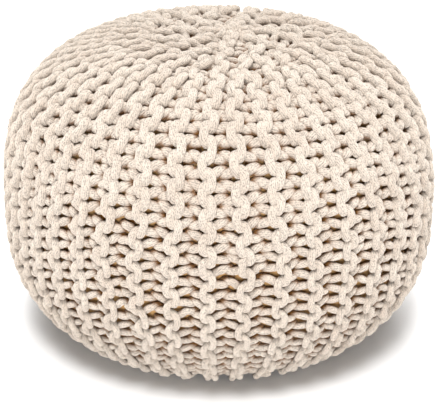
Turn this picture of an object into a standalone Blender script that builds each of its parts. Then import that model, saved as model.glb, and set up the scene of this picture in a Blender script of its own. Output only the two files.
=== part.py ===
"""Knitted pouf: one round, filled floor seat in thick cotton cord.

The cover is knitted sideways in garter stitch, so its ribs run from the gathered top
down to the base. The solid is the filled form with its crown, its drawn-in top and base,
its flat foot and every rib raised.
Units are metres, +Z is up and the origin is the middle of the foot, on the floor.
"""

import math

import bmesh
import bpy
import numpy as np

# Filled form, measured over the ribs
RADIUS = 0.2505
DOME_HEIGHT = 0.2184
DOME_SQUARENESS = 3.0
UNDERSIDE_DEPTH = 0.174
UNDERSIDE_SQUARENESS = 2.23
FOOT_SHARE = 0.75

# The dome leans a little to -X, the cord is drawn tight beside its middle, and dips there
DOME_LEAN = -0.0045
GATHER_SHIFT = 0.019
GATHER_REACH = 0.25
GATHER_RADIUS = 0.022
GATHER_DEPTH = 0.005

# Ribs: how many, how high they stand, where one lies, and how the cover is stretched
RIB_COUNT = 42
RIB_HEIGHT = 0.007
RIB_START = 0.03
RIB_FULL = 0.13
RIB_TURN = math.radians(-1.5)
RIB_STRETCH = 0.12

# Heights across one rib, as shares of RIB_HEIGHT: valley, crest, crest, valley
RIB_SECTION = (0.0, 1.0, 1.0, 0.0)

# Rows of points from the middle of the top down to the rim of the foot
TOP_ROWS = (0.0, 0.011, 0.024, 0.042, 0.064)
SIDE_ROW_COUNT = 20

COTTON_COLOUR = (0.80, 0.69, 0.58, 1.0)
COTTON_ROUGHNESS = 0.9

WIDEST_LEVEL = UNDERSIDE_DEPTH * FOOT_SHARE
OUTLINE_STEPS = 400


def outline():
    """The half outline from the top to the foot: arc lengths, radii and heights."""
    turn = np.linspace(0.0, math.pi / 2, OUTLINE_STEPS)
    dome = 2 / DOME_SQUARENESS
    under = 2 / UNDERSIDE_SQUARENESS
    radius = np.concatenate([RADIUS * np.cos(turn[::-1]) ** dome,
                             RADIUS * np.cos(turn[1:]) ** under])
    height = np.concatenate([DOME_HEIGHT * np.sin(turn[::-1]) ** dome,
                             -UNDERSIDE_DEPTH * np.sin(turn[1:]) ** under])
    above_foot = height > -WIDEST_LEVEL
    foot_radius = float(np.interp(WIDEST_LEVEL, -height, radius))
    radius = np.append(radius[above_foot], foot_radius)
    height = np.append(height[above_foot] + WIDEST_LEVEL, 0.0)
    radius[0] = 0.0
    steps = np.hypot(np.diff(radius), np.diff(height))
    return np.concatenate([[0.0], np.cumsum(steps)]), radius, height


def smooth_step(value, start, end):
    """0 up to start, 1 from end on, and a soft S between."""
    share = min(max((value - start) / (end - start), 0.0), 1.0)
    return share * share * (3 - 2 * share)


def dome_level(radius):
    """The height of the dome at a radius."""
    share = min(radius / RADIUS, 1.0) ** DOME_SQUARENESS
    return WIDEST_LEVEL + DOME_HEIGHT * (1 - share) ** (1 / DOME_SQUARENESS)


def spun_blank(rows, arcs, radii, heights):
    """A closed turned form through the rows, and each point's arc length and column."""
    blank = bmesh.new()
    row_of_height = {}
    profile = []
    for arc in rows:
        radius = float(np.interp(arc, arcs, radii))
        height = float(np.interp(arc, arcs, heights))
        profile.append(blank.verts.new((radius, 0.0, height)))
        row_of_height[round(height, 5)] = arc
    profile.append(blank.verts.new((0.0, 0.0, 0.0)))
    edges = [blank.edges.new(pair) for pair in zip(profile, profile[1:])]
    columns = RIB_COUNT * len(RIB_SECTION)
    bmesh.ops.spin(blank, geom=profile + edges, cent=(0, 0, 0), axis=(0, 0, 1),
                   steps=columns, angle=math.tau, use_merge=True)
    bmesh.ops.remove_doubles(blank, verts=blank.verts, dist=0.00001)
    bmesh.ops.recalc_face_normals(blank, faces=blank.faces)
    marks = {}
    for vert in blank.verts:
        column = round(math.atan2(vert.co.y, vert.co.x) / math.tau * columns)
        marks[vert] = (row_of_height[round(vert.co.z, 5)], column % len(RIB_SECTION))
    return blank, marks


def gather_top(blank, marks):
    """Turns the ribs to their places and draws the top together beside its middle."""
    for vert, (arc, _) in marks.items():
        radius = math.hypot(vert.co.x, vert.co.y)
        angle = math.atan2(vert.co.y, vert.co.x) + RIB_TURN
        angle += RIB_STRETCH * (1 - math.cos(angle + math.pi / 2))
        vert.co.x = radius * math.cos(angle)
        vert.co.y = radius * math.sin(angle)
        if arc < GATHER_REACH and vert.co.z > WIDEST_LEVEL:
            vert.co.x += GATHER_SHIFT * (1 - smooth_step(arc, 0.0, GATHER_REACH))
            vert.co.z = dome_level(math.hypot(vert.co.x, vert.co.y))


def raise_ribs(blank, marks):
    """Sinks the valleys between the ribs and the gathered middle, and leans the dome."""
    blank.normal_update()
    sunk_by = {}
    for vert, (arc, column) in marks.items():
        sunk = (1 - RIB_SECTION[column]) * RIB_HEIGHT * smooth_step(arc, RIB_START, RIB_FULL)
        direction = -vert.normal
        if vert.co.z < 0.0001:
            direction = -vert.co.normalized()
        sunk_by[vert] = direction * sunk
    for vert, move in sunk_by.items():
        arc = marks[vert][0]
        vert.co += move
        if vert.co.z > WIDEST_LEVEL:
            rise = (vert.co.z - WIDEST_LEVEL) / DOME_HEIGHT
            vert.co.x += DOME_LEAN * rise ** 2
            vert.co.z -= GATHER_DEPTH * (1 - smooth_step(arc, 0.0, GATHER_RADIUS))


def cotton():
    """Undyed cotton cord: pale beige and quite matt."""
    material = bpy.data.materials.new("undyed_cotton")
    material.use_nodes = True
    shader = material.node_tree.nodes["Principled BSDF"]
    shader.inputs["Base Color"].default_value = COTTON_COLOUR
    shader.inputs["Roughness"].default_value = COTTON_ROUGHNESS
    shader.inputs["Metallic"].default_value = 0.0
    return material


def knitted_body():
    """The whole pouf, as one filled solid with its ribs raised."""
    arcs, radii, heights = outline()
    side_rows = np.linspace(TOP_ROWS[-1], arcs[-1], SIDE_ROW_COUNT + 1)
    blank, marks = spun_blank([*TOP_ROWS, *side_rows[1:].tolist()], arcs, radii, heights)
    gather_top(blank, marks)
    raise_ribs(blank, marks)
    bmesh.ops.triangulate(blank, faces=blank.faces)
    bmesh.ops.recalc_face_normals(blank, faces=blank.faces)
    mesh = bpy.data.meshes.new("knitted_body")
    blank.to_mesh(mesh)
    blank.free()
    mesh.shade_smooth()
    mesh.materials.append(cotton())
    body = bpy.data.objects.new("knitted_body", mesh)
    bpy.context.collection.objects.link(body)


for leftover in list(bpy.data.objects):
    bpy.data.objects.remove(leftover)
knitted_body()
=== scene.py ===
"""Knitted pouf: the look of one round, filled floor seat in thick cotton cord.

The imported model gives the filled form. This script puts the filled inner bag inside it
and knits the cover around the bag, stitch by stitch, as one endless cord, which is then
drawn tight. Units are metres, +Z is up and the origin is the middle of the foot.
"""

import math

import bmesh
import bpy
import numpy as np
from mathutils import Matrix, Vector


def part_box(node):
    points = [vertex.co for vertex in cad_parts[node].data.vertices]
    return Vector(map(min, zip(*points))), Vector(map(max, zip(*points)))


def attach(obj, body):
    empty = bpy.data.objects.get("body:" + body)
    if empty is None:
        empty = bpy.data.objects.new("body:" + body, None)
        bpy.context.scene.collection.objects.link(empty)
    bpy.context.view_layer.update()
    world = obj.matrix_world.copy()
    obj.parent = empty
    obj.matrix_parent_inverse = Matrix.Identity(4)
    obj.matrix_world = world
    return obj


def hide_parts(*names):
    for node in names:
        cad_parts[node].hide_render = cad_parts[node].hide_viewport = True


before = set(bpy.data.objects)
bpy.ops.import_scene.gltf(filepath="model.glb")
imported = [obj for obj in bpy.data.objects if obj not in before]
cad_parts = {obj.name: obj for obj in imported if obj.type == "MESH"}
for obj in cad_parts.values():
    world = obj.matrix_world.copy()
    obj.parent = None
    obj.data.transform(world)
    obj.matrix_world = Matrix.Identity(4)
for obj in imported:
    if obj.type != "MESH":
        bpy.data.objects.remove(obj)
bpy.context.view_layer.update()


# ----------------------------------------------------------------------------------
# Inner bag
# The filling is held in a plain cotton bag, sewn shut before the cover is closed.
# The cover hides it, but for specks of cloth at the bottom of some gaps.
# ----------------------------------------------------------------------------------

WIDEST_SHARE = 0.374             # height of the widest ring, as a share of the whole
DOME_SQUARENESS = 3.0
UNDERSIDE_SQUARENESS = 2.23
FOOT_SHARE = 0.75                # how much of the underside's depth stands over the floor
DOME_LEAN = -0.0045              # how far the top of the dome lies off the foot's middle
OUTLINE_POINTS = 721
OUTLINE_SMOOTHING = 13           # points to each side, for the normals
SAME_PLACE = 0.00001             # points nearer than this are one
HAIR = 0.000001                  # less than any length that matters

COVER_THICKNESS = 0.0235
BAG_BULGE = 0.0055               # how far the bag swells up between the cover's deepest cords
HEART_HEIGHT = 0.150             # the point from which the filling's reach is measured
BAG_RINGS = 80
BAG_STEPS = 96

body_low, body_high = (np.array(corner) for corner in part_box("knitted_body"))
pouf_radius = (body_high - body_low)[:2].mean() / 2
pouf_height = body_high[2]
widest_level = pouf_height * WIDEST_SHARE
dome_height = pouf_height - widest_level


def filled_outline():
    """The half outline over the ribs, from the pole to the middle of the foot.

    Gives arc lengths, radii, heights and the outward normals' two parts.
    """
    turn = np.linspace(0.0, math.pi / 2, OUTLINE_POINTS)
    dome = 2 / DOME_SQUARENESS
    under = 2 / UNDERSIDE_SQUARENESS
    under_depth = widest_level / FOOT_SHARE
    radius = pouf_radius * np.concatenate([np.cos(turn[::-1]) ** dome,
                                           np.cos(turn[1:]) ** under])
    height = np.concatenate([dome_height * np.sin(turn[::-1]) ** dome,
                             -under_depth * np.sin(turn[1:]) ** under])
    standing = height > -widest_level
    foot_radius = float(np.interp(widest_level, -height, radius))
    radius = np.append(radius[standing], [foot_radius, 0.0])
    height = np.append(height[standing] + widest_level, [0.0, 0.0])
    radius[0] = 0.0
    steps = np.hypot(np.diff(radius), np.diff(height))
    arc = np.concatenate([[0.0], np.cumsum(steps)])
    even = np.linspace(0.0, arc[-1], OUTLINE_POINTS)
    radius = np.interp(even, arc, radius)
    height = np.interp(even, arc, height)
    span = OUTLINE_SMOOTHING
    window = np.hanning(2 * span + 1)
    window /= window.sum()
    across = np.concatenate([-radius[span:0:-1], radius, -radius[-2:-span - 2:-1]])
    upward = np.concatenate([height[span:0:-1], height, height[-2:-span - 2:-1]])
    run = np.gradient(np.convolve(across, window, "valid"))
    fall = np.gradient(np.convolve(upward, window, "valid"))
    length = np.hypot(run, fall)
    return even, radius, height, -fall / length, run / length


out_arc, out_radius, out_height, out_across, out_upward = filled_outline()


def dome_lean(height):
    """How far the axis of the form lies to +X at a height."""
    return DOME_LEAN * np.clip((height - widest_level) / dome_height, 0.0, None) ** 2


def filling_reach(depth):
    """The filling's reach from its heart at a depth under the ribs, by the angle from up."""
    across = out_radius - out_across * depth
    upward = out_height - out_upward * depth - HEART_HEIGHT
    kept = across > -HAIR
    angle = np.arctan2(across[kept], upward[kept])
    reach = np.hypot(across[kept], upward[kept])
    order = np.argsort(angle)
    return angle[order], reach[order]


def from_heart(points):
    """Each point's way from the filling's heart, its length and its angle from up."""
    shift = dome_lean(points[:, 2])
    way = points - np.stack([shift, 0 * shift, 0 * shift + HEART_HEIGHT], axis=1)
    return way, np.linalg.norm(way, axis=1), np.arctan2(np.hypot(way[:, 0], way[:, 1]), way[:, 2])


def linear(hex_colour):
    """A linear RGBA colour from an sRGB hex value."""
    parts = [int(hex_colour[place:place + 2], 16) / 255 for place in (1, 3, 5)]
    return (*[part / 12.92 if part <= 0.04045 else ((part + 0.055) / 1.055) ** 2.4
              for part in parts], 1.0)


def add(tree, kind, inputs=None, **settings):
    """Adds one node with its settings, its constant inputs and its links."""
    node = tree.nodes.new(kind)
    for name, value in settings.items():
        setattr(node, name, value)
    for name, value in (inputs or {}).items():
        if isinstance(value, bpy.types.NodeSocket):
            tree.links.new(value, node.inputs[name])
        else:
            node.inputs[name].default_value = value
    return node


def new_material(name):
    """An empty node material, its tree and its Principled shader."""
    material = bpy.data.materials.new(name)
    material.use_nodes = True
    tree = material.node_tree
    return material, tree, tree.nodes["Principled BSDF"]


def unbleached_calico():
    """Plain-woven cotton, unbleached: matt and warm tan, with a soft uneven weave."""
    thread = 0.0012              # real threads are 0.4 mm; drawn coarser, so that they show
    cloud_size = 0.04
    material, tree, shader = new_material("unbleached_calico")
    place = add(tree, "ShaderNodeTexCoord").outputs["Object"]
    weave = add(tree, "ShaderNodeTexNoise", {"Vector": place, "Scale": 1 / thread,
                                             "Detail": 2.0})
    cloud = add(tree, "ShaderNodeTexNoise", {"Vector": place, "Scale": 1 / cloud_size})
    tone = add(tree, "ShaderNodeMix", {"Factor": cloud.outputs["Fac"],
                                       "A": linear("#c8985e"), "B": linear("#d8ae78")},
               data_type="RGBA")
    relief = add(tree, "ShaderNodeBump", {"Height": weave.outputs["Fac"],
                                          "Strength": 0.3, "Distance": 0.0002})
    tree.links.new(tone.outputs["Result"], shader.inputs["Base Color"])
    tree.links.new(relief.outputs["Normal"], shader.inputs["Normal"])
    shader.inputs["Roughness"].default_value = 0.92
    return material


def inner_bag():
    """The filled bag: a turned form that follows the inside of the cover."""
    angles, reaches = filling_reach(COVER_THICKNESS - BAG_BULGE)
    bag = bmesh.new()
    profile = []
    for angle in np.linspace(0.0, math.pi, BAG_RINGS):
        reach = float(np.interp(angle, angles, reaches))
        profile.append(bag.verts.new((reach * math.sin(angle), 0.0,
                                      HEART_HEIGHT + reach * math.cos(angle))))
    seams = [bag.edges.new(pair) for pair in zip(profile, profile[1:])]
    bmesh.ops.spin(bag, geom=profile + seams, cent=(0, 0, 0), axis=(0, 0, 1),
                   steps=BAG_STEPS, angle=math.tau, use_merge=True)
    bmesh.ops.remove_doubles(bag, verts=bag.verts, dist=SAME_PLACE)
    for vert in bag.verts:
        vert.co.x += float(dome_lean(vert.co.z))
    bmesh.ops.recalc_face_normals(bag, faces=bag.faces)
    mesh = bpy.data.meshes.new("inner_bag")
    bag.to_mesh(mesh)
    bag.free()
    mesh.shade_smooth()
    mesh.materials.append(unbleached_calico())
    piece = bpy.data.objects.new("inner_bag", mesh)
    bpy.context.collection.objects.link(piece)
    return piece


bag_piece = inner_bag()
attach(bag_piece, "root")
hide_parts("knitted_body")


# ----------------------------------------------------------------------------------
# Knitted cover
# One endless cotton cord, knitted sideways in garter stitch: each row runs from the
# middle of the top to the middle of the base and turns back there, so two rows make one
# rib. Towards both poles some rows stop short, which leaves fewer ribs to gather.
# ----------------------------------------------------------------------------------

RIB_COUNT = 42
ROW_COUNT = 2 * RIB_COUNT
CORD_RADIUS = 0.0045
FIRST_RIB_TURN = math.radians(-92.6)     # where the first row starts, seen from above
RIB_STRETCH = 0.12               # the ribs at +X are so much wider, those at -X narrower
GATHER_SHIFT = 0.019             # the top is drawn together beside its middle
GATHER_REACH = 0.25              # and the rows bend towards there within this arc

FIRST_EDGE = 0.006               # the arc from the pole to the first stitch
# Runs of stitches from the top to the base: how many, and how long each is
STITCH_RUNS = ((1, 0.025), (1, 0.0275), (2, 0.032), (1, 0.0304), (2, 0.0292), (2, 0.0307),
               (2, 0.0276), (5, 0.0254), (1, 0.0285), (1, 0.0310), (2, 0.0330), (6, 0.0290))

# How many stitches short of the pole the turns stop, from turn to turn
TOP_TURNS = (0, 4, 3, 2, 4, 3)
BASE_TURNS = (0, 4, 3, 1, 4, 3)
TURN_EASE = 0.023                # how softly the neighbours close in beyond a turn

# Hand-made unevenness of the rows' widths, the stitches' places and lengths, and the girth
UNEVEN_SEED = 7
UNEVEN_ROWS = 0.10
UNEVEN_PLACES = 0.0020
UNEVEN_LENGTHS = 0.08
UNEVEN_GIRTH = 0.035
UNEVEN_SPAN = 0.05               # the arc over which a row's width changes
UNEVEN_LIMIT = 2.0               # the most that a width may vary, in usual variations
UNEVEN_SOFTENING = 2             # rounds of evening out the places of neighbouring rows
ROW_LINE_POINTS = 241

# Half a stitch, from its foot in the last row to its head in the next one:
# line (0 the last row's, 1 the next one's), steps beside it, reach past it,
# place along the row in stitches, level (1 on the side of the last row's line),
# softness where it crosses another cord, swell where it lies free
HALF_STITCH = (
    (0.0, -1.0, -1.0, -0.50, 1.0, 0.0, 0.0),
    (0.0, -1.0, -0.5, -0.34, 1.0, 0.0, 0.0),
    (0.0, -0.7, 0.0, -0.24, 0.8, 1.0, 0.0),
    (0.0, 0.0, 0.0, -0.20, 0.4, 1.0, 0.0),
    (0.0, 0.8, 0.0, -0.20, 0.0, 1.0, 0.5),
    (0.0, 1.6, 0.0, -0.22, 0.0, 0.0, 1.0),
    (1.0, -1.6, 0.0, -0.28, 0.0, 0.0, 1.0),
    (1.0, -0.8, 0.0, -0.30, 0.0, 1.0, 0.5),
    (1.0, 0.0, 0.0, -0.30, -0.4, 1.0, 0.0),
    (1.0, 0.7, 0.0, -0.26, -0.8, 1.0, 0.0),
    (1.0, 1.0, 0.5, -0.16, -1.0, 0.0, 0.0),
    (1.0, 1.0, 1.0, 0.0, -1.0, 0.0, 0.0),
)
# How the cover changes from the top to the base: arc, girth of the cord, depth from a
# rib's crest to the middle layer (and on to the back), and the cord's bow between two ribs
COVER_CHANGES = (
    (0.00, 1.00, 0.0070, 0.0010),
    (0.20, 1.09, 0.0068, 0.0015),
    (0.28, 1.05, 0.0068, 0.0020),
    (0.36, 0.90, 0.0068, 0.0030),
    (0.42, 0.80, 0.0068, 0.0040),
    (0.52, 0.75, 0.0068, 0.0040),
    (0.60, 1.00, 0.0070, 0.0),
)
SWELL = 0.12                     # how much thicker the cord is where it lies free
BESIDE = 0.0044                  # one step beside a line between rows
REACH = 0.0006                   # how far a stitch's head and foot reach past that
NARROWEST = 0.27                 # the most of a row's width that one step beside may take
MIDDLE_DEPTH = 0.008             # of the cover, under the ribs' crests
POLE_RADIUS = 0.006              # steps beside a row are not scaled up nearer to the poles
THINNEST_ROW = 0.001             # as an angle, where a row fades out

# Drawing the cord tight
NODE_STEP = 0.0045               # from one node of the cord to the next
ROUTE_STEPS = 4                  # steps of a smooth curve for each of its points
UNEVEN_NODES = 16                # nodes from one change of the cord's own length to the next
SPARE_LENGTH = 1.02              # the cord's own length, as a share of its route's
CONTACT = 0.0080                 # how near two stretches of cord of usual girth may come
CROSSING_SQUASH = 0.3            # share of its girth that the cord gives up where crossed
TIGHTENING_STEPS = 100
PULL_HOME = 0.1                  # back to its route, as a share of the way in each step
STIFFNESS = 0.03                 # towards straight, as such a share
CONTACT_PUSH = 0.42              # out of a neighbour, as such a share, for each of the two
DRAWN_IN = 0.00004               # towards the filling in each step
NEIGHBOUR_STEPS = 12             # tightening steps between two searches for neighbours
NEIGHBOUR_MARGIN = 0.003         # what such a search reaches beyond contact
NEXT_NODES = 2                   # nodes this near along the cord do not push each other
FLOOR_CLEARANCE = CORD_RADIUS * (1 + SWELL)     # the least height of the centre line

# The finished cord
RING_COUNT = 46000
CORD_BEVEL = 3                   # ten sides
BEND_SHARE = 0.0035              # how strongly rings crowd into bends
SHARPEST_BEND = 400.0            # beyond which they crowd no more, in 1/m
GIRTH_WAVES = (0.031, 0.047)     # lengths over which the girth varies
PIECE_ROWS = 14                  # rows in one mesh
SOFTNESS, GIRTH, ROW, LENGTH = 3, 4, 5, 6       # columns of a cord point, after its place

chance = np.random.default_rng(UNEVEN_SEED)
edge_arcs = np.cumsum([FIRST_EDGE] + [length for count, length in STITCH_RUNS
                                      for _ in range(count)])
last_edge = len(edge_arcs) - 1
top_edges = [TOP_TURNS[turn % len(TOP_TURNS)] for turn in range(RIB_COUNT)]
base_edges = [last_edge - BASE_TURNS[turn % len(BASE_TURNS)] for turn in range(RIB_COUNT)]


def smooth_step(value, start, end):
    """0 up to start, 1 from end on, and a soft S between."""
    share = np.clip((value - start) / (end - start), 0.0, 1.0)
    return share * share * (3 - 2 * share)


def row_lines():
    """The angles of the lines between rows, by arc: two rows that turn early fade out."""
    arcs = np.linspace(0.0, out_arc[-1], ROW_LINE_POINTS)
    knots = np.arange(0.0, out_arc[-1] + UNEVEN_SPAN, UNEVEN_SPAN)
    widths = np.ones((len(arcs), ROW_COUNT))
    for row in range(ROW_COUNT):
        uneven = np.interp(arcs, knots, chance.normal(size=len(knots)))
        widths[:, row] += UNEVEN_ROWS * np.clip(uneven, -UNEVEN_LIMIT, UNEVEN_LIMIT)
        widths[:, row] += RIB_STRETCH * math.cos(row / ROW_COUNT * math.tau + FIRST_RIB_TURN)
    for turn in range(RIB_COUNT):
        if top_edges[turn] > 0:
            arc = edge_arcs[top_edges[turn]]
            fade = smooth_step(arcs, arc - TURN_EASE, arc + TURN_EASE)
            widths[:, [2 * turn, 2 * turn + 1]] *= fade[:, None]
        if base_edges[turn] < last_edge:
            arc = edge_arcs[base_edges[turn]]
            fade = 1 - smooth_step(arcs, arc - TURN_EASE, arc + TURN_EASE)
            widths[:, [2 * turn + 1, (2 * turn + 2) % ROW_COUNT]] *= fade[:, None]
    lines = np.concatenate([np.zeros((len(arcs), 1)), np.cumsum(widths, axis=1)], axis=1)
    return arcs, lines / lines[:, -1:] * math.tau


line_arcs, line_angles = row_lines()


def line_angle(line, arc):
    """Where one line between two rows lies, for a list of arc lengths."""
    lap, line = divmod(line, ROW_COUNT)
    own = np.interp(arc, line_arcs, line_angles[:, line])
    return own + math.tau * lap + FIRST_RIB_TURN


def uneven_places():
    """How far each row's stitch edges lie off their arcs, softly from row to row."""
    places = chance.normal(size=(ROW_COUNT, last_edge + 1))
    for _ in range(UNEVEN_SOFTENING):
        places = (np.roll(places, 1, axis=0) + 2 * places + np.roll(places, -1, axis=0)) / 4
    return UNEVEN_PLACES * places / places.std()


edge_places = edge_arcs + uneven_places()


def row_route(row):
    """The cord's own points along one row, from the top down.

    Gives angle, arc, rise over the ribs' crests, softness and girth for each point. The
    rise is below zero, because the middle of the cord lies under the crests.
    """
    first, last = top_edges[row // 2], base_edges[(row - 1) % ROW_COUNT // 2]
    half = np.array(HALF_STITCH)
    # The second half of a stitch is the first half again, turned round along the row
    back = half[-2::-1] * (1, 1, 1, -1, 1, 1, 1)
    loop = np.concatenate([half, back])[:-1]
    stitches = np.arange(first, last) + 0.5
    along = np.append((stitches[:, None] + loop[:, 3]).ravel(), last)
    line, beside, reach, _, level, softness, swell = np.concatenate(
        [np.tile(loop, (len(stitches), 1)), half[:1]]).T
    arc = np.interp(along, np.arange(last_edge + 1), edge_places[row])
    left, right = line_angle(row, arc), line_angle(row + 1, arc)
    radius = np.maximum(np.interp(arc, out_arc, out_radius) - MIDDLE_DEPTH, POLE_RADIUS)
    step = np.minimum(BESIDE, NARROWEST * (right - left) * radius)
    aside = (beside * step + reach * REACH) / radius
    angle = left + line * (right - left) + aside
    across = np.clip(line + aside / np.maximum(right - left, THINNEST_ROW), 0.0, 1.0)
    # Every second row is knitted from the other side
    if row % 2:
        across, level = 1 - across, -level
    arcs, *changes = np.array(COVER_CHANGES).T
    girth, layer, bow = [np.interp(arc, arcs, change) for change in changes]
    arc = arc - bow * (1 - np.cos(math.pi * across)) / 2
    rise = layer * (level - 1) - CORD_RADIUS * girth
    return np.stack([angle, arc, rise, softness, girth * (1 + SWELL * swell)], axis=1)


def gathered(angle, arc):
    """Angles and arcs once the top is drawn together beside its middle."""
    radius = np.interp(arc, out_arc, out_radius)
    across = radius * np.cos(angle) + GATHER_SHIFT * (1 - smooth_step(arc, 0.0, GATHER_REACH))
    aside = radius * np.sin(angle)
    widest = out_radius.argmax()
    moved = np.interp(np.hypot(across, aside), out_radius[:widest], out_arc[:widest])
    on_top = arc < GATHER_REACH
    return np.where(on_top, np.arctan2(aside, across), angle), np.where(on_top, moved, arc)


def in_space(route):
    """Points in space from angles, arcs and rises; softness and girth stay as they are."""
    angle, arc, rise = route.T[:3]
    angle, arc = gathered(angle, arc)
    radius = np.interp(arc, out_arc, out_radius) + np.interp(arc, out_arc, out_across) * rise
    height = np.interp(arc, out_arc, out_height) + np.interp(arc, out_arc, out_upward) * rise
    return np.column_stack([radius * np.cos(angle) + dome_lean(height),
                            radius * np.sin(angle), height, route[:, 3:]])


def smooth_loop(points, steps):
    """A Catmull-Rom curve through a closed loop of points, in so many steps for each."""
    before, after = np.roll(points, 1, axis=0), np.roll(points, -1, axis=0)
    beyond = np.roll(points, -2, axis=0)
    fine = np.empty((len(points), steps, points.shape[1]))
    for step in range(steps):
        share = step / steps
        fine[:, step] = 0.5 * (2 * points + (after - before) * share
                               + (2 * before - 5 * points + 4 * after - beyond) * share ** 2
                               + (3 * points - before - 3 * after + beyond) * share ** 3)
    return fine.reshape(-1, points.shape[1])


def lengths_along(points):
    """The length from the first point of a closed loop to each point and back to the first."""
    steps = np.linalg.norm(np.roll(points, -1, axis=0) - points, axis=1)
    return np.concatenate([[0.0], np.cumsum(steps)])


def spread(points, measure, count):
    """Points of a closed loop, spread evenly by a measure that grows along it."""
    places = np.linspace(0.0, measure[-1], count + 1)[:-1]
    closed = np.concatenate([points, points[:1]])
    return np.stack([np.interp(places, measure, part) for part in closed.T], axis=1)


def neighbours(points, reach):
    """All pairs of points of the loop that are closer than reach, but not along the cord.

    The points are sorted into cubes of that size. Each is then compared with the points
    of its own cube and of the neighbouring cubes that come later in the order.
    """
    cells = np.floor(points / reach).astype(np.int64)
    cells -= cells.min(axis=0) - 1
    size = cells.max(axis=0) + 2
    keys = (cells[:, 0] * size[1] + cells[:, 1]) * size[2] + cells[:, 2]
    order = np.argsort(keys, kind="stable")
    keys = keys[order]
    count = len(points)
    firsts, seconds = [], []
    for across in (-1, 0, 1):
        for beside in (-1, 0, 1):
            for above in (-1, 0, 1):
                offset = (across * size[1] + beside) * size[2] + above
                if offset < 0:
                    continue
                start = np.searchsorted(keys, keys + offset, "left")
                end = np.searchsorted(keys, keys + offset, "right")
                if offset == 0:
                    start = np.arange(count) + 1
                found = np.maximum(end - start, 0)
                first = np.repeat(np.arange(count), found)
                skipped = np.concatenate([[0], np.cumsum(found)[:-1]])
                second = np.arange(len(first)) + np.repeat(start - skipped, found)
                firsts.append(order[first])
                seconds.append(order[second])
    first, second = np.concatenate(firsts), np.concatenate(seconds)
    apart = np.abs(first - second)
    apart = np.minimum(apart, count - apart)
    close = ((points[first] - points[second]) ** 2).sum(axis=1) < reach * reach
    kept = close & (apart > NEXT_NODES)
    return first[kept], second[kept]


def keep_lengths(points, rest):
    """Moves each two following points to their own distance, one half of the pairs first."""
    for start in (0, 1):
        here = np.arange(start, len(points) - 1, 2)
        gap = points[here + 1] - points[here]
        length = np.linalg.norm(gap, axis=1)
        change = gap * (0.5 * (length - rest[here]) / length)[:, None]
        points[here] += change
        points[here + 1] -= change


def push_apart(points, first, second, contact):
    """Moves stretches of the cord that touch out of each other."""
    gap = points[second] - points[first]
    length = np.linalg.norm(gap, axis=1)
    needed = (contact[first] + contact[second]) / 2
    touching = length < needed
    pushed = gap[touching] * (CONTACT_PUSH * (needed - length)[touching]
                              / np.maximum(length[touching], HAIR))[:, None]
    for axis in range(3):
        points[:, axis] += np.bincount(second[touching], pushed[:, axis], len(points))
        points[:, axis] -= np.bincount(first[touching], pushed[:, axis], len(points))


def draw_tight(home, softness, girth):
    """Lets the cord settle: its own length and stiffness, contact, filling and floor."""
    points = home.copy()
    count = len(points)
    contact = CONTACT * girth * (1 - CROSSING_SQUASH * np.clip(softness, 0.0, 1.0))
    changes = chance.normal(size=count // UNEVEN_NODES)
    own_length = 1 + UNEVEN_LENGTHS * np.interp(np.arange(count) / UNEVEN_NODES,
                                                np.arange(len(changes)), changes)
    rest = NODE_STEP * SPARE_LENGTH * own_length
    angles, reaches = filling_reach(COVER_THICKNESS - CORD_RADIUS)
    for step in range(TIGHTENING_STEPS):
        if step % NEIGHBOUR_STEPS == 0:
            first, second = neighbours(points, CONTACT + NEIGHBOUR_MARGIN)
        points += PULL_HOME * (home - points)
        middle = (np.roll(points, 1, axis=0) + np.roll(points, -1, axis=0)) / 2
        points += STIFFNESS * (middle - points)
        keep_lengths(points, rest)
        way, outward, angle = from_heart(points)
        reach = np.maximum(outward - DRAWN_IN, np.interp(angle, angles, reaches))
        points += way * (reach / outward - 1)[:, None]
        points[:, 2] = np.maximum(points[:, 2], FLOOR_CLEARANCE)
        push_apart(points, first, second, contact)
    return points


def rings_of(fine):
    """The finished cord's rings, closer together in its bends, each with its length."""
    measure = lengths_along(fine[:, :3])
    before, after = np.roll(fine[:, :3], 1, axis=0), np.roll(fine[:, :3], -1, axis=0)
    step = measure[1:] - measure[:-1]
    bend = np.linalg.norm(before + after - 2 * fine[:, :3], axis=1)
    bend = bend / np.maximum(step, SAME_PLACE) ** 2
    crowd = np.cumsum(step * (1 + BEND_SHARE * np.minimum(bend, SHARPEST_BEND)))
    crowd = np.concatenate([[0.0], crowd])
    fine = np.column_stack([fine, measure[:-1]])
    fine[:, 2] = np.maximum(fine[:, 2], FLOOR_CLEARANCE)
    return spread(fine, crowd, RING_COUNT)


def knitted_cord():
    """The whole cord, drawn tight: its points, softness, girths, rows and lengths."""
    rows = [row_route(row)[::-1 if row % 2 == 0 else 1] for row in range(ROW_COUNT)]
    numbers = np.concatenate([np.full(len(row), float(number))
                              for number, row in enumerate(rows)])
    route = np.column_stack([in_space(np.concatenate(rows)), numbers])
    route = smooth_loop(route, ROUTE_STEPS)
    measure = lengths_along(route[:, :3])
    route = spread(route, measure, round(measure[-1] / NODE_STEP))
    route[:, :3] = draw_tight(route[:, :3], route[:, SOFTNESS], route[:, GIRTH])
    fine = smooth_loop(route, ROUTE_STEPS)
    fine[:, ROW] = np.repeat(route[:, ROW], ROUTE_STEPS)
    return rings_of(fine)


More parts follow.
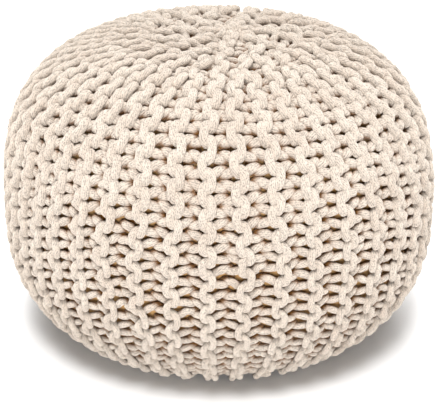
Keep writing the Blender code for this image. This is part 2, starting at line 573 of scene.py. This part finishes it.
def spun_cotton_cord():
    """Thick cotton cord of soft strands: matt, fuzzy, with shade painted into its relief and
    painted brown where deep.
    """
    strand_count = 13.0
    twist_pitch = 0.075          # one full turn of a strand along the cord
    fibre_size = 0.0015          # real fibres are 0.02 mm; drawn as tufts, so that they show
    wander_size = 0.012
    cloud_size = 0.03
    material, tree, shader = new_material("spun_cotton_cord")
    straight = add(tree, "ShaderNodeAttribute", attribute_name="straight_cord")
    parts = add(tree, "ShaderNodeSeparateXYZ", {"Vector": straight.outputs["Vector"]})
    around = add(tree, "ShaderNodeMath", {0: parts.outputs["Y"], 1: parts.outputs["X"]},
                 operation="ARCTAN2")
    turned = add(tree, "ShaderNodeMath", {0: parts.outputs["Z"], 1: math.tau / twist_pitch,
                                          2: around.outputs["Value"]},
                 operation="MULTIPLY_ADD")
    wander = add(tree, "ShaderNodeTexNoise", {"Vector": straight.outputs["Vector"],
                                              "Scale": 1 / wander_size, "Detail": 1.0})
    bent = add(tree, "ShaderNodeMath", {0: wander.outputs["Fac"], 1: 0.6,
                                        2: turned.outputs["Value"]},
               operation="MULTIPLY_ADD")
    phase = add(tree, "ShaderNodeMath", {0: bent.outputs["Value"], 1: strand_count},
                operation="MULTIPLY")
    strands = add(tree, "ShaderNodeMath", {0: phase.outputs["Value"]}, operation="SINE")
    tufts = add(tree, "ShaderNodeTexNoise", {"Vector": straight.outputs["Vector"],
                                             "Scale": 1 / fibre_size, "Detail": 2.0,
                                             "Roughness": 0.6})
    height = add(tree, "ShaderNodeMath", {0: strands.outputs["Value"], 1: 0.07,
                                          2: tufts.outputs["Fac"]},
                 operation="MULTIPLY_ADD")
    relief = add(tree, "ShaderNodeBump", {"Height": height.outputs["Value"],
                                          "Strength": 1.0, "Distance": 0.0014})
    place = add(tree, "ShaderNodeTexCoord").outputs["Object"]
    cloud = add(tree, "ShaderNodeTexNoise", {"Vector": place, "Scale": 1 / cloud_size,
                                             "Detail": 3.0})
    clouded = add(tree, "ShaderNodeMapRange", {"Value": cloud.outputs["Fac"],
                                               "From Min": 0.35, "From Max": 0.65})
    tone = add(tree, "ShaderNodeMix", {"Factor": clouded.outputs["Result"],
                                       "A": linear("#c5b8ab"), "B": linear("#cbc0b4")},
               data_type="RGBA")
    # Painted shade: the deeper the cord lies in the cover, the more its colour is mixed to dark
    # brown, standing in for the shade among the cords.
    under = add(tree, "ShaderNodeAttribute", attribute_name="depth_in_cover")
    buried = add(tree, "ShaderNodeMapRange", {"Value": under.outputs["Fac"],
                                              "From Min": 0.0076, "From Max": 0.0124},
                 interpolation_type="SMOOTHSTEP")
    painted_depth_shade = add(tree, "ShaderNodeMix", {"Factor": buried.outputs["Result"],
                                       "A": tone.outputs["Result"], "B": linear("#76490f")},
               data_type="RGBA")
    # Painted shade and light: the colour is darkened where the strands' and tufts' relief sinks
    # and lightened a little where it rises.
    painted_fibre_shade = add(tree, "ShaderNodeMapRange", {"Value": height.outputs["Value"],
                                              "From Min": 0.30, "From Max": 0.56,
                                              "To Min": 0.50, "To Max": 1.10})
    fibre_shaded_colour = add(tree, "ShaderNodeVectorMath", {0: painted_depth_shade.outputs["Result"],
                                                  "Scale": painted_fibre_shade.outputs["Result"]},
                   operation="SCALE")
    tree.links.new(fibre_shaded_colour.outputs["Vector"], shader.inputs["Base Color"])
    tree.links.new(relief.outputs["Normal"], shader.inputs["Normal"])
    shader.inputs["Roughness"].default_value = 0.95
    shader.inputs["Specular IOR Level"].default_value = 0.25
    shader.inputs["Diffuse Roughness"].default_value = 1.0
    shader.inputs["Sheen Weight"].default_value = 0.45
    shader.inputs["Sheen Tint"].default_value = linear("#f8ecde")
    shader.inputs["Sheen Roughness"].default_value = 0.5
    return material


def cord_tube(name, rings):
    """The mesh of a stretch of the cord, still open at both ends, and its count of sides."""
    curve = bpy.data.curves.new(name, "CURVE")
    curve.dimensions = "3D"
    curve.bevel_depth = CORD_RADIUS
    curve.bevel_resolution = CORD_BEVEL
    spline = curve.splines.new("POLY")
    spline.points.add(len(rings) - 1)
    spline.points.foreach_set("co", np.column_stack([rings[:, :3],
                                                     np.ones(len(rings))]).ravel())
    first_wave, second_wave = GIRTH_WAVES
    wave = np.sin(rings[:, LENGTH] / first_wave) * np.sin(rings[:, LENGTH] / second_wave)
    spline.points.foreach_set("radius", rings[:, GIRTH] * (1 + UNEVEN_GIRTH * wave))
    holder = bpy.data.objects.new(name, curve)
    mesh = bpy.data.meshes.new_from_object(holder)
    bpy.data.objects.remove(holder)
    mesh.name = name
    return mesh, len(mesh.vertices) // len(rings)


def mark_places(mesh, rings, sides):
    """Gives each point its place on the cord pulled straight and its depth in the cover."""
    turn = np.tile(np.arange(sides) / sides * math.tau, len(rings))
    straight = np.stack([CORD_RADIUS * np.cos(turn), CORD_RADIUS * np.sin(turn),
                         np.repeat(rings[:, LENGTH], sides)], axis=1)
    attribute = mesh.attributes.new("straight_cord", "FLOAT_VECTOR", "POINT")
    attribute.data.foreach_set("vector", straight.ravel())
    skin = np.empty(len(mesh.vertices) * 3)
    mesh.vertices.foreach_get("co", skin)
    _, outward, angle = from_heart(skin.reshape(-1, 3))
    # The depth under the ribs' crests, from which the cord's material paints its shade.
    attribute = mesh.attributes.new("depth_in_cover", "FLOAT", "POINT")
    attribute.data.foreach_set("value", np.interp(angle, *filling_reach(0.0)) - outward)


def close_ends(mesh, sides):
    """Fills both open ends of a tube and turns its faces outwards."""
    tube = bmesh.new()
    tube.from_mesh(mesh)
    ends = [edge for edge in tube.edges if edge.is_boundary]
    bmesh.ops.holes_fill(tube, edges=ends, sides=sides)
    bmesh.ops.recalc_face_normals(tube, faces=tube.faces)
    tube.to_mesh(mesh)
    tube.free()


def cord_piece(name, rings, material):
    """A stretch of the cord as one closed piece."""
    mesh, sides = cord_tube(name, rings)
    mark_places(mesh, rings, sides)
    close_ends(mesh, sides)
    mesh.shade_smooth()
    mesh.materials.clear()
    mesh.materials.append(material)
    piece = bpy.data.objects.new(name, mesh)
    bpy.context.collection.objects.link(piece)
    return piece


cord_rings = knitted_cord()
cord_material = spun_cotton_cord()
for number, first_row in enumerate(range(0, ROW_COUNT, PIECE_ROWS), start=1):
    own_row = cord_rings[:, ROW]
    chosen = (own_row >= first_row) & (own_row < first_row + PIECE_ROWS)
    cover_piece = cord_piece(f"knitted_rows_{number}", cord_rings[chosen], cord_material)
    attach(cover_piece, "root")
    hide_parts("knitted_body")


# ----------------------------------------------------------------------------------
# Floor and light
# A plain pale studio floor under a wide ceiling panel, in an even white room. The main
# soft light hangs high in front; a weaker one stands low in front and one behind.
# ----------------------------------------------------------------------------------

FLOOR_HALF = 6.0
KEY_PLACE = (-0.25, -2.1, 4.7)
KEY_SIZE = 1.6
KEY_POWER = 202.0
FILL_PLACE = (0.0, -3.5, 0.35)
FILL_SIZE = 1.6
FILL_POWER = 114.0
PANEL_PLACE = (0.0, 0.3, 3.0)
PANEL_SIZE = 4.0
PANEL_POWER = 100.0
BACK_PLACE = (0.2, 3.2, 2.6)
BACK_SIZE = 2.6
BACK_POWER = 130.0
ROOM_STRENGTH = 0.17
AIM = Vector((0.0, 0.0, 0.148))


def pale_floor():
    """A smooth matt white sheet under the pouf."""
    material, _, shader = new_material("matt_white_sheet")
    shader.inputs["Base Color"].default_value = linear("#f6f6f6")
    shader.inputs["Roughness"].default_value = 0.9
    shape = bmesh.new()
    bmesh.ops.create_grid(shape, x_segments=1, y_segments=1, size=FLOOR_HALF)
    mesh = bpy.data.meshes.new("studio_floor")
    shape.to_mesh(mesh)
    shape.free()
    mesh.materials.append(material)
    floor = bpy.data.objects.new("studio_floor", mesh)
    bpy.context.collection.objects.link(floor)
    return floor


def turn_to(obj, place, aim):
    """Places an object and turns its -Z to a point."""
    obj.location = place
    obj.rotation_mode = "QUATERNION"
    obj.rotation_quaternion = (aim - Vector(place)).to_track_quat("-Z", "Y")


pale_floor()
for name, place, size, power in (("soft_key", KEY_PLACE, KEY_SIZE, KEY_POWER),
                                 ("low_fill", FILL_PLACE, FILL_SIZE, FILL_POWER),
                                 ("ceiling_panel", PANEL_PLACE, PANEL_SIZE, PANEL_POWER),
                                 ("back_light", BACK_PLACE, BACK_SIZE, BACK_POWER)):
    lamp = bpy.data.lights.new(name, "AREA")
    lamp.size = size
    lamp.energy = power
    lamp_object = bpy.data.objects.new(name, lamp)
    bpy.context.collection.objects.link(lamp_object)
    turn_to(lamp_object, place, AIM)
room = bpy.data.worlds.new("white_room")
room.use_nodes = True
room.node_tree.nodes["Background"].inputs["Color"].default_value = (1.0, 1.0, 1.0, 1.0)
room.node_tree.nodes["Background"].inputs["Strength"].default_value = ROOM_STRENGTH
bpy.context.scene.world = room
bpy.context.scene.view_settings.view_transform = "Standard"


# ----------------------------------------------------------------------------------
# Camera
# It looks down on the pouf from the front, from one and a half metres away, through a
# long lens, so that the pouf almost fills the picture.
# ----------------------------------------------------------------------------------

PHOTO_WIDTH = 439
FOCAL_PIXELS = 1273.0
SENSOR_WIDTH = 36.0
CAMERA_DISTANCE = 1.5
CAMERA_ELEVATION = math.radians(24.0)
AIM_RIGHT = -0.5                 # where the aimed point lies off the picture's middle, pixels
AIM_UP = 9.7

camera = bpy.data.cameras.new("camera")
camera.sensor_width = SENSOR_WIDTH
camera.lens = FOCAL_PIXELS / PHOTO_WIDTH * SENSOR_WIDTH
camera.shift_x = -AIM_RIGHT / PHOTO_WIDTH
camera.shift_y = -AIM_UP / PHOTO_WIDTH
camera_object = bpy.data.objects.new("camera", camera)
bpy.context.collection.objects.link(camera_object)
camera_back = Vector((0.0, -math.cos(CAMERA_ELEVATION), math.sin(CAMERA_ELEVATION)))
turn_to(camera_object, AIM + camera_back * CAMERA_DISTANCE, AIM)
bpy.context.scene.camera = camera_object
